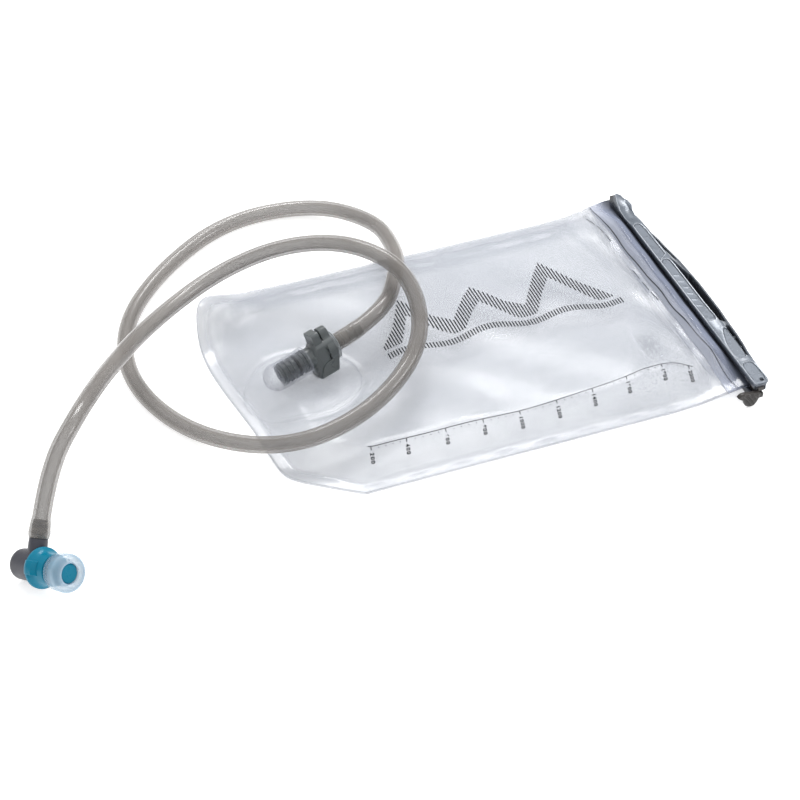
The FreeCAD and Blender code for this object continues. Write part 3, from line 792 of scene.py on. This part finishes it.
def number_print(text, place):
    """Plan points and faces of a number that reads towards the near side."""
    curve = bpy.data.curves.new("number", "FONT")
    curve.body = text
    curve.size = NUMBER_SIZE
    curve.space_character = 1.3
    curve.offset = 0.14
    curve.align_x = "LEFT"
    curve.align_y = "CENTER"
    text_obj = bpy.data.objects.new("number", curve)
    bpy.context.scene.collection.objects.link(text_obj)
    bpy.context.view_layer.update()
    mesh = bpy.data.meshes.new_from_object(text_obj)
    bpy.data.objects.remove(text_obj)
    bm = bmesh.new()
    bm.from_mesh(mesh)
    bmesh.ops.triangulate(bm, faces=bm.faces)
    bmesh.ops.remove_doubles(bm, verts=bm.verts, dist=1e-4)
    plan = [(place[0] + v.co.y - MARK_LEAN * v.co.x, place[1] - v.co.x) for v in bm.verts]
    bm.verts.ensure_lookup_table()
    faces = [tuple(v.index for v in f.verts) for f in bm.faces]
    bm.free()
    return plan, faces


number_points = []
number_faces = []
for i, x in enumerate(SCALE_TICKS):
    plan, faces = number_print(str(200 * (i + 1)), (x - MARK_LEAN * NUMBER_DROP, scale_y(x) - NUMBER_DROP))
    start = len(number_points)
    number_points += plan
    number_faces += [tuple(start + v for v in f) for f in faces]
inked("volume_numbers", number_points, number_faces)

# ---- port patch and boot


def port_patch_piece():
    """Oval patch that follows the front panel, with a raised rim."""
    rings = 26
    count = 96
    verts = [PATCH_CENTRE]
    rise = [0.9]
    for i in range(1, rings + 1):
        share = i / rings
        for k in range(count):
            angle = 2 * math.pi * k / count
            verts.append((PATCH_CENTRE[0] + PATCH_RADII[0] * share * math.cos(angle),
                          PATCH_RADII[1] * share * math.sin(angle)))
            rise.append(0.9 + 0.5 * math.exp(-(((share - 0.95) / 0.035) ** 2)) - 0.55 * smooth_step(share, 0.96, 1.0))
    xy = np.array(verts)
    z = front_height(xy[:, 0], xy[:, 1]) + np.array(rise)
    faces = [(0, 1 + k, 1 + (k + 1) % count) for k in range(count)]
    for i in range(rings - 1):
        a, b = 1 + i * count, 1 + (i + 1) * count
        for k in range(count):
            n = (k + 1) % count
            faces.append((a + k, b + k, b + n, a + n))
    made = add_mesh("oval_patch", np.column_stack([xy, z]).tolist(), faces, clear_patch)
    modifier(made, "SOLIDIFY", thickness=0.4 * MM, offset=0.0)
    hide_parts("port_patch")


port_patch_piece()

boot_profile = [(-9.0, 0.0)]
for k in range(1, 13):
    angle = math.pi / 2 * k / 12
    boot_profile.append((-1.0 - 8.0 * math.cos(angle), 8.0 * math.sin(angle)))
boot_profile += [(3.0, 7.95), (8.0, 7.9), (13.0, 7.95), (16.4, 8.0), (16.8, 8.35), (17.8, 8.35), (18.2, 8.0),
                 (18.2, 6.7), (0.5, 6.6), (0.4, 0.0)]
boot = lathe("clear_boot", boot_profile, clear, PORT, "reservoir")
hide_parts("port_boot")

# ---- closure

CLOSURE_NEAR = -95.5
CLOSURE_FAR = 94.0
CLOSURE_LEFT = [(-95.5, 128.0), (-94.6, 127.5), (63.0, 127.5), (71.0, 127.3), (81.0, 128.2), (88.0, 129.7),
                (93.0, 131.1), (94.0, 131.6)]
CLOSURE_RIGHT = [(-95.5, 135.0), (-94.6, 136.4), (-92.0, 137.4), (-83.0, 137.3), (-75.0, 137.4), (-66.0, 138.9),
                 (-57.0, 140.8), (-48.0, 141.7), (-33.0, 142.4), (-24.0, 142.9), (1.0, 143.0), (25.0, 141.9),
                 (47.0, 139.3), (59.0, 137.0), (66.0, 135.4), (72.0, 134.6), (77.0, 135.2), (82.0, 137.2),
                 (87.0, 136.8), (91.0, 135.1), (93.2, 133.0), (94.0, 131.9)]
ARCH_TOP = [(-95.5, 13.1), (-74.0, 13.1), (-66.0, 11.6), (-56.0, 10.0), (-40.0, 9.5), (40.0, 9.5), (56.0, 10.4),
            (66.0, 12.9), (94.0, 13.1)]
PLATE_TOP = [(-95.5, 13.2), (62.0, 13.2), (67.0, 12.9), (72.0, 12.7), (79.0, 12.3), (86.0, 12.9), (94.0, 14.5)]
SPINE_RIGHT = [(-95.5, 135.4), (-37.0, 135.5), (-20.0, 134.8), (25.0, 134.8), (33.0, 135.2), (60.0, 134.5),
               (94.0, 134.5)]
# regions as (y, left, right), from the near end on
PANELS = [
    (0.5, [(-93.4, 131.0, 134.4), (-92.6, 129.5, 136.0), (-90.0, 128.8, 136.5), (-82.0, 128.8, 136.4),
           (-78.6, 129.0, 136.0), (-77.0, 129.8, 135.2), (-76.3, 131.4, 133.6)]),
    (0.75, [(-71.9, 132.4, 132.8), (-71.3, 130.2, 134.8), (-70.0, 129.2, 135.6), (-66.8, 129.0, 135.9),
            (-60.0, 129.3, 136.0), (-57.0, 129.9, 136.0), (-53.7, 130.8, 136.0), (-50.0, 131.8, 136.0),
            (-46.0, 133.3, 135.9), (-44.3, 134.4, 135.0)]),
    (0.6, [(-36.5, 129.0, 133.9), (-33.0, 128.5, 134.8), (-20.0, 128.4, 134.3), (20.0, 128.4, 134.3),
           (23.0, 128.6, 134.0), (24.6, 129.6, 133.3), (25.4, 131.0, 132.2)]),
    (0.5, [(24.8, 128.3, 128.6), (26.8, 128.3, 130.0), (28.2, 128.3, 132.0), (30.0, 128.3, 134.2),
           (45.0, 128.3, 134.0), (57.0, 128.3, 133.8), (60.5, 128.5, 133.3), (62.0, 129.2, 132.5),
           (62.8, 130.4, 131.4)]),
]
OPENINGS = [
    [(-71.0, 135.6, 136.0), (-70.2, 135.4, 140.0), (-68.7, 135.5, 150.0), (-61.0, 135.9, 150.0),
     (-43.8, 135.9, 150.0), (-41.0, 137.9, 150.0), (-39.5, 139.2, 140.2)],
    [(-38.0, 136.2, 137.0), (-37.2, 135.5, 138.2), (-36.0, 135.4, 139.7), (-34.0, 135.3, 150.0),
     (-20.0, 134.9, 150.0), (6.0, 134.9, 150.0), (12.0, 134.9, 140.6), (18.0, 134.9, 138.6),
     (22.0, 134.9, 136.6), (24.8, 134.8, 135.1)],
    [(26.5, 139.4, 139.8), (29.5, 137.4, 150.0), (33.0, 135.4, 150.0), (47.0, 134.9, 150.0),
     (59.0, 134.6, 150.0), (62.5, 134.5, 150.0)],
]
ARCH_RIM = 1.2
ARCH_NEAR = -72
CHANNEL_RIGHT = 134.8


def limits(rows, y):
    """Left and right limits of a region at y."""
    at, left, right = zip(*rows)
    return np.interp(y, at, left), np.interp(y, at, right)


def inset(rows, x, y):
    """Distance in from a region's border, below zero outside it."""
    low, high = limits(rows, y)
    inside = np.minimum(x - low, high - x)
    beyond = max(rows[0][0] - y, y - rows[-1][0], 0.0)
    return np.where(inside < 0, -np.hypot(inside, beyond), inside if beyond == 0 else -beyond)


def closure_relief(x, y, left, right):
    """Height and tone of the closure's upper side across one section; the tone is painted shade and painted
    highlights.
    """
    plate = along_line(PLATE_TOP, y)
    spine = along_line(SPINE_RIGHT, y)
    arch = along_line(ARCH_TOP, y)
    inner = right - ARCH_RIM
    slope = smooth_step(x, spine, max(inner, spine + 0.3))
    z = plate * (1 - slope) + arch * slope
    # painted shade on the webs that slope down to the arch
    tone = 0.35 * slope * smooth_step(y, -72, -60) * (1 - smooth_step(y, 56, 66))
    if y < 62:
        z = z + 0.25 * hump(x, left + 0.55, 0.4)
        # painted highlight along the left rim
        tone = tone - 0.35 * hump(x, left + 0.6, 0.35)
    if y > 64:
        middle = (left + right) / 2
        half = max(right - left, 0.5) / 2
        dish = smooth_step(y, 64, 72) * (1 - smooth_step(y, 88, 94))
        z = z - 1.1 * dish * np.clip(1 - ((x - middle) / half) ** 2, 0, 1)
        # painted highlights in the end tab's scoop and along its left edge, and painted shade in its middle
        tone = tone - 0.45 * spot(x, y, (middle - 0.6, 87.5), (1.8, 3.2))
        tone = tone - 0.35 * spot(x, y, (middle + 0.8, 78), (0.9, 1.6))
        tone = tone + 0.15 * spot(x, y, (middle, 82.0), (2.4, 1.8)) - 0.3 * hump(x, left + 0.3, 0.3)
    for depth, rows in PANELS:
        edge = inset(rows, x, y)
        z = z - depth * smooth_step(edge, 0.0, 0.45) + 0.12 * hump(edge, -0.4, 0.35)
        # painted highlights on the panels' rims and painted shade just inside them
        tone = tone - 0.5 * hump(edge, -0.35, 0.3) * smooth_step(abs(y + 90), 4, 8) + 0.2 * hump(edge, 0.35, 0.3)
    fold = smooth_step(y, -50, -36) * (1 - smooth_step(y, -36, -33))
    fold = fold * smooth_step(x, 129.5, 133.0) * (1 - smooth_step(x, 134.6, 135.4))
    z = z + 0.45 * fold
    # painted highlights on the fold and on a spot near the near end
    tone = tone - 0.3 * fold - 0.5 * spot(x, y, (132.0, -73.8), (2.2, 1.0))
    if -22 < y < 14:  # generic slanted marks in the long panel
        mark = np.abs((y + 18) % 6.0 - 3.0 + 0.45 * (x - 131.4))
        mark = (1 - smooth_step(mark, 0.3, 0.7)) * (1 - smooth_step(np.abs(x - 131.4), 1.3, 1.8))
        z = z + 0.16 * mark
        # painted highlight on the raised marks
        tone = tone - 0.18 * mark
    for rows in OPENINGS:
        edge = np.minimum(inset(rows, x, y), inner - x)
        deep = smooth_step(edge, 0.0, 0.3)
        ribs = hump(y, -49.5, 0.7) + hump(y, -59.0, 0.7)
        ribs = ribs * smooth_step(x, spine + 1.8, spine + 3.0)
        z = z * (1 - deep) + (3.0 + 6.5 * ribs) * deep
        # painted shade deep in the openings, less on their raised ribs
        tone = tone * (1 - deep) + (0.95 - 0.7 * ribs) * deep
    hole = 1 - smooth_step(np.hypot(x - 133.8, y + 91.8), 0.9, 1.3)
    z = z - 3.0 * hole
    # painted shade in the hole
    tone = tone + 0.9 * hole
    border = np.minimum(x - left, right - x)
    return z - 0.5 * (1 - smooth_step(border, -0.2, 0.6)) ** 2, tone


def closure_piece():
    """The closure in one mesh: its C section swept from end to end, with the upper side's relief."""
    stations = np.linspace(CLOSURE_NEAR, CLOSURE_FAR, 430)
    across = 121
    verts = []
    tones = []
    for y in stations:
        left, right = along_line(CLOSURE_LEFT, y), along_line(CLOSURE_RIGHT, y)
        xs = left + (right - left) * np.linspace(0.008, 0.992, across)
        zs, tone = closure_relief(xs, y, left, right)
        wall = max(right, CHANNEL_RIGHT) if y > ARCH_NEAR else CHANNEL_RIGHT
        low = 0.2 + 8.2 * smooth_step(-y, 86.0, 97.0)
        floor_z = max(2.6, low + 0.6)
        section = [(128.1, low), (127.65, low + 0.2), (127.5, low + 0.7), (127.5, max(4.6, low + 0.8)),
                   (127.9, max(5.0, low + 0.9)), (129.3, max(5.0, low + 0.9)), (129.3, floor_z), (134.0, floor_z),
                   (134.0, 10.6), (129.3, 10.6), (129.3, 9.6), (127.9, 9.6), (127.5, 9.9), (left, zs[0] - 0.5)]
        # painted shade on the left wall, the underside and the channel, and lighter painted shade on the right wall
        tones += [0.7] * 12 + [0.6, 0.25] + list(tone) + [0.2] * 5
        section += list(zip(xs, zs))
        side = min(9.0, zs[-1] - 0.7) if y > ARCH_NEAR else 10.6
        section += [(right, zs[-1] - 0.5), (wall, side), (wall, low + 0.7), (wall - 0.15, low + 0.2),
                    (wall - 0.6, low)]
        verts += [(x, y, z) for x, z in section]
    count = len(verts) // len(stations)
    faces = grid_faces(len(stations), count, True)
    faces.append(tuple(range(count)))
    faces.append(tuple(range(len(verts) - count, len(verts))))
    made = add_mesh("pinch_closure", verts, faces, slider_grey, "slider")
    point_values(made, "tone", tones)
    weld(made)
    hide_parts("closure_slider")


closure_piece()


def bar_piece(verts, faces, x, y, z):
    """Adds a plain bar to a list of points and faces."""
    start = len(verts)
    verts += [(a, b, c) for a in x for b in y for c in z]
    faces += [tuple(start + k for k in f) for f in
              ((0, 1, 3, 2), (4, 6, 7, 5), (0, 4, 5, 1), (2, 3, 7, 6), (0, 2, 6, 4), (1, 5, 7, 3))]


CLAW = [(116.4, 8.7), (118.0, 7.2), (120.2, 6.6), (120.5, 4.9), (121.2, 2.4), (123.3, 0.8), (126.1, 0.6), (127.8, 2.0),
        (129.4, 4.9), (130.2, 7.6), (129.8, 9.0), (124.4, 9.8), (119.6, 10.6), (117.6, 9.9)]


def rear_rail_piece():
    """Rear bead with its hooked end claw; the claw's side is faintly ribbed."""
    outline_points = smooth_line(CLAW + [CLAW[0]], 90)[:-1]
    middle = outline_points.mean(0)
    verts = []
    faces = []
    bar_piece(verts, faces, (129.6, 133.6), (-95.8, 97.5), (3.1, 5.9))
    rim = 0.95
    layers = [(-95.8, 0.96), (-96.0, 1.0), (-98.0, 1.0), (-98.4, rim)]
    start = len(verts)
    for y, scale in layers:
        for x, z in outline_points:
            verts.append((middle[0] + (x - middle[0]) * scale, y, middle[1] + (z - middle[1]) * scale))
    count = len(outline_points)
    faces += [tuple(start + v for v in f) for f in grid_faces(len(layers), count, True)]
    rings = 14
    start_cap = len(verts)
    for i in range(rings):
        share = rim * (1 - (i + 1) / (rings + 0.5))
        for x, z in outline_points:
            px = middle[0] + (x - middle[0]) * share
            pz = middle[1] + (z - middle[1]) * share
            rib = 0.35 * math.cos((px * 0.8 + pz * 0.6) * 3.0) * min(1.0, (rim - share) * 6)
            verts.append((px, -98.4 - 0.1 + rib, pz))
    outer = start + (len(layers) - 1) * count
    for i in range(rings):
        a = outer if i == 0 else start_cap + (i - 1) * count
        b = start_cap + i * count
        faces += [(a + k, a + (k + 1) % count, b + (k + 1) % count, b + k) for k in range(count)]
    faces.append(tuple(start_cap + (rings - 1) * count + k for k in range(count)))
    faces.append(tuple(start + k for k in range(count)))
    made = add_mesh("rear_bead", verts, faces, rail_brown)
    weld(made)
    modifier(made, "BEVEL", width=0.3 * MM, segments=2, limit_method="ANGLE", angle_limit=math.radians(50))
    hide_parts("rear_rail")


rear_rail_piece()

# ---- coupling

barrel_profile = soften([
    (0.5, 2.2), (0.5, 5.6), (2.0, 5.6), (2.0, 6.45), (3.2, 6.45), (3.2, 5.6), (5.0, 5.6), (5.0, 6.45), (6.2, 6.45),
    (6.2, 5.6), (8.0, 5.6), (8.0, 6.45), (9.2, 6.45), (9.2, 5.6), (14.5, 5.6), (14.5, 6.45), (15.7, 6.45),
    (15.7, 5.6), (16.5, 5.6), (16.5, 6.45), (18.0, 6.45), (18.4, 6.2), (22.0, 6.2), (22.0, 5.4), (12.9, 5.4),
    (12.9, 4.35), (9.0, 4.35), (9.0, 2.2),
], 0.2, 2)
barrel = lathe("coupling_barrel", barrel_profile, grey, PORT, "reservoir", 72)
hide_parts("socket_body")

# lines on the housing's side as (along, height)
SPLIT_LINE = [(19.9, -13.2), (20.3, -12.0), (21.8, -9.2), (23.2, -6.9), (25.3, -5.3), (27.5, -4.8), (29.7, -4.4),
              (30.6, -3.6), (30.9, -1.4), (30.2, 1.0), (29.4, 2.6)]
WEDGE_EDGE = [(-12.6, 20.3), (-9.2, 22.2), (-5.5, 25.0), (-0.9, 24.3), (4.0, 23.3), (9.8, 22.6)]
HOUSING_RIGHT = [(-12.3, 31.4), (-12.0, 31.8), (-5.6, 34.5), (-4.0, 35.0), (8.0, 35.0)]
HOUSING_HALF = 7.0
HOUSING_LEFT = 20.0
HOUSING_BASE = -12.3
HOUSING_TOP = 7.0


def housing_half(t, z):
    """Half width of the coupling's housing over its side view."""
    split = line_distance(smooth_line(SPLIT_LINE, 60), t, z)
    right = along_line(HOUSING_RIGHT, z)
    wedge = along_line(WEDGE_EDGE, z)
    half = HOUSING_HALF - 2.3 * np.clip((wedge - t) / np.maximum(wedge - HOUSING_LEFT, 0.5), 0, 1) ** 1.3
    half = half - 0.8 * hump(split, 0.0, 0.3)
    half = half - 3.4 * spot(t, z, (30.4, -3.2), (0.75, 1.2))
    top = HOUSING_TOP - 2.2 * (1 - smooth_step(t, HOUSING_LEFT, 24.5))
    half = half - 2.6 * (1 - smooth_step(top - z, -0.5, 3.2)) ** 2
    border = np.minimum(np.minimum(t - HOUSING_LEFT, right - t), np.minimum(z - HOUSING_BASE, HOUSING_TOP - z))
    return half - 0.7 * (1 - smooth_step(border, -0.4, 0.8)) ** 2


def housing_piece():
    """Latch housing: two sides with relief, joined all round."""
    rows, columns = 110, 90
    z = np.linspace(HOUSING_BASE, HOUSING_TOP, rows)[:, None] * np.ones((1, columns))
    share = np.linspace(0, 1, columns)[None, :]
    t = HOUSING_LEFT + (along_line(HOUSING_RIGHT, z) - HOUSING_LEFT) * share
    half = housing_half(t, z)
    z = z - 2.2 * smooth_step(z, 0.0, HOUSING_TOP) * (1 - smooth_step(t, HOUSING_LEFT, 24.5))
    verts = []
    for side in (-1, 1):
        verts += [tuple(PORT @ Vector((a, side * b, c))) for a, b, c in zip(t.ravel(), half.ravel(), z.ravel())]
    count = rows * columns
    faces = grid_faces(rows, columns)
    faces += [tuple(count + v for v in reversed(f)) for f in grid_faces(rows, columns)]
    rim = [k for k in range(columns)] + [columns * (i + 1) - 1 for i in range(1, rows)]
    rim += [count - 1 - k for k in range(1, columns)] + [columns * (rows - 1 - i) for i in range(1, rows - 1)]
    for i, k in enumerate(rim):
        n = rim[(i + 1) % len(rim)]
        faces.append((k, n, count + n, count + k))
    made = add_mesh("latch_housing", verts, faces, grey)
    weld(made)
    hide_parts("socket_body")


housing_piece()


def plate_shape(s, r, angle):
    """Gives the round plate its thumb lobe."""
    off = abs((math.degrees(angle) - 90.0 + 180.0) % 360.0 - 180.0)
    if r > 6.0:
        r += 4.7 * math.exp(-((off / 24.0) ** 4))
    return s, r


face_plate = lathe("face_plate", soften([(30.1, 4.6), (30.1, 8.3), (35.0, 8.3), (35.0, 4.6)], 0.5), grey, PORT,
                   "reservoir", 128, plate_shape)
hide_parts("socket_body")

plug_profile = soften([
    (13.0, 2.2), (13.0, 4.1), (13.5, 4.3), (35.1, 4.3), (35.1, 8.3), (35.7, 8.3), (35.7, 7.5), (36.2, 7.5),
    (36.2, 8.2), (36.8, 8.2), (37.2, 5.4), (37.4, 3.4), (40.6, 3.4), (41.4, 3.85), (43.6, 3.4), (45.0, 3.4),
    (45.8, 3.85), (48.0, 3.4), (49.4, 3.4), (50.2, 3.85), (52.4, 3.4), (54.2, 3.3), (54.5, 3.0), (54.5, 2.2),
], 0.12, 2)
plug = lathe("tube_fitting", plug_profile, grey, PORT, "reservoir", 96)
plug.data.materials.append(clear_ring)
for p in plug.data.polygons:  # the flange is clear
    local = PORT.inverted() @ (p.center / MM)
    if local.x > 34.9 and math.hypot(local.y, local.z) > 5.6:
        p.material_index = 1
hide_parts("tube_plug")

# ---- kept CAD pieces: rounded edges and materials


def dress(name, material, bevel=0.0):
    """Gives a CAD node its material and, where it helps, rounded edges."""
    obj = nodes[name]
    obj.data.materials.clear()
    obj.data.materials.append(material)
    if bevel:
        modifier(obj, "WELD", merge_threshold=0.00002)
        modifier(obj, "BEVEL", width=bevel * MM, segments=3, limit_method="ANGLE", angle_limit=math.radians(35),
                 harden_normals=False, use_clamp_overlap=True)


dress("front_rail", rail_brown, 0.4)
dress("release_button", grey, 1.3)
dress("check_poppet", grey)
dress("shutoff_disc", elbow_grey)
dress("twist_collar", teal, 0.2)
dress("valve_core", teal, 0.2)
for name in ("socket_seal", "poppet_seal", "plug_seal", "collar_seal"):
    dress(name, rubber)
for name in ("poppet_spring", "button_spring"):
    dress(name, steel)

# ---- elbow and mouthpiece

elbow_body = lathe("elbow_body", soften([
    (0.0, 0.0), (0.0, 6.6), (0.6, 7.6), (2.2, 8.0), (17.0, 8.0), (17.6, 7.6), (17.6, 6.05), (25.6, 5.9), (25.6, 3.6),
    (2.6, 3.6), (2.6, 0.0),
], 0.5), elbow_grey, VALVE, "reservoir")
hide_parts("valve_elbow")
neck_place = VALVE @ Matrix.Translation(Vector((BARB_PLACE, 0, 0))) @ Matrix.Rotation(math.radians(-90), 4, "Y")
elbow_neck = lathe("elbow_neck", soften([
    (5.5, 2.2), (5.5, 5.0), (12.0, 4.95), (14.2, 4.8), (14.35, 3.85), (16.0, 3.85), (16.4, 4.3), (18.2, 3.85),
    (19.6, 3.85), (20.0, 4.3), (22.0, 3.85), (23.4, 3.7), (23.6, 3.4), (23.6, 2.2),
], 0.15, 2), elbow_grey, neck_place, "reservoir")
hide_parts("valve_elbow")

sleeve = soften([
    (31.8, 8.25), (31.8, 8.7), (33.2, 9.5), (40.2, 9.9), (42.4, 9.6), (43.8, 8.2), (44.0, 6.6), (43.4, 5.4),
    (42.4, 5.1), (39.6, 5.2), (38.4, 7.2), (32.4, 7.2), (32.05, 8.25),
], 0.9)
mouthpiece = lathe("bite_sleeve", sleeve, silicone, VALVE, "twist_head")
along_valve = [(VALVE.inverted() @ (v.co / MM)).x for v in mouthpiece.data.vertices]
point_values(mouthpiece, "thin", 1.0 - smooth_step(np.array(along_valve), 37.5, 40.5))
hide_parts("mouthpiece")

# ---- floor

floor_mesh = bpy.data.meshes.new("floor")
floor_mesh.from_pydata([(-4, -4, -0.0004), (4, -4, -0.0004), (4, 4, -0.0004), (-4, 4, -0.0004)], [], [(0, 1, 2, 3)])
floor = bpy.data.objects.new("floor", floor_mesh)
bpy.context.scene.collection.objects.link(floor)
floor.data.materials.append(moulded("floor_paper", (0.85, 0.85, 0.85), 0.9, spread=0.01, grain_strength=0.02,
                                    Emission_Color=(1.0, 1.0, 1.0, 1.0), Emission_Strength=0.55))
